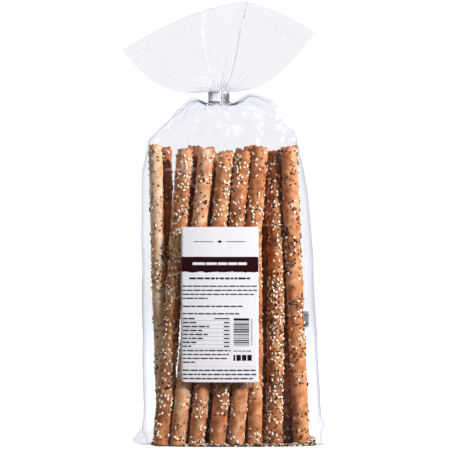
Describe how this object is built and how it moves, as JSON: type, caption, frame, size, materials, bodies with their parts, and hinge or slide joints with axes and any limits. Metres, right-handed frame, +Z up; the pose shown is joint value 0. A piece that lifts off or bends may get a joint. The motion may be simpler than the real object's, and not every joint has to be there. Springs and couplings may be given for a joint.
{
  "type": "bag of seeded grissini breadsticks",
  "caption": "Clear film bag of seeded breadsticks standing upright, gathered at the neck by a clip band, with a paper label.",
  "frame": {"origin": "middle of the overall box, on the surface that the bag stands on", "axes": "+Z up along the breadsticks, -Y out of the labelled front, +X to the right seen from the front"},
  "size_m": [0.164, 0.0505, 0.348],
  "materials": {
    "film": "clear, thin and crinkled",
    "bread": "baked crust, matt and rough",
    "pale_seeds": "hulled sesame, satin",
    "dark_seeds": "poppy and flax, satin",
    "label_paper": "coated paper with printed fields",
    "sticker_paper": "matt paper",
    "clip_band": "coated strip with a wire in each edge"
  },
  "bodies": {
    "root": {"bag": "film", "label": "label_paper", "date_sticker": "sticker_paper", "tie": "clip_band"}
  },
  "joints": []
}
